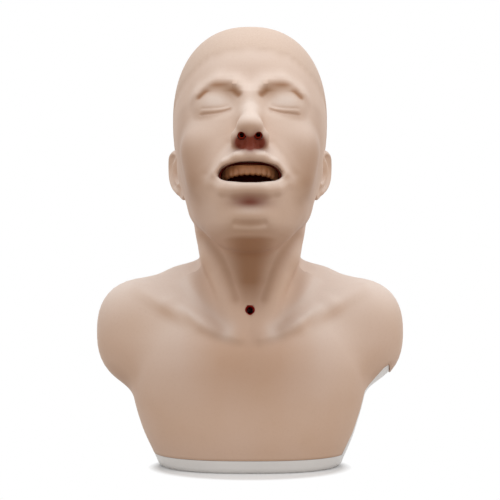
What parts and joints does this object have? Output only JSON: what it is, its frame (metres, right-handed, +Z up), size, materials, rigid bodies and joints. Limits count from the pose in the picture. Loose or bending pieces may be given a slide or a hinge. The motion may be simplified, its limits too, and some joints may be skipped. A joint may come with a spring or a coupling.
{
  "type": "tracheostomy care training bust",
  "caption": "Upright soft-skinned training bust, head tilted back, eyes closed and mouth open, with a round throat opening, an airway inside and a hard white base shell",
  "frame": {"origin": "centre of the bounding box on the floor, under the base", "axes": "+Z up, the face looks to -Y, +X to the viewer's right when looking at the face"},
  "size_m": [0.3192, 0.2459, 0.4529],
  "materials": {
    "skin": "soft matt vinyl, flesh colour",
    "shell": "white, slightly warm",
    "mouth_lining": "dark red, satin",
    "teeth": "flesh-brown, satin",
    "red_soft": "red, glossy",
    "clear_plastic": "milky",
    "pink_soft": "pink, matt",
    "grey_plastic": "grey, matt",
    "steel": "plain"
  },
  "bodies": {
    "root": {"bust_skin": "skin", "base_shell": "shell", "mouth_liner": "mouth_lining", "upper_teeth": "teeth", "lower_teeth": "teeth", "tongue": "red_soft", "left_nasal_tube": "mouth_lining", "right_nasal_tube": "mouth_lining", "throat": "clear_plastic", "epiglottis": "red_soft", "larynx_ring": "red_soft", "trachea_tube": "red_soft", "stoma_ring": "red_soft", "oesophagus_tube": "pink_soft", "bronchial_fork": "clear_plastic", "left_lung": "pink_soft", "right_lung": "pink_soft", "left_lung_clip": "shell", "right_lung_clip": "shell", "airway_frame": "grey_plastic", "frame_screw_1": "steel", "frame_screw_2": "steel", "frame_screw_3": "steel", "frame_screw_4": "steel"}
  },
  "joints": []
}
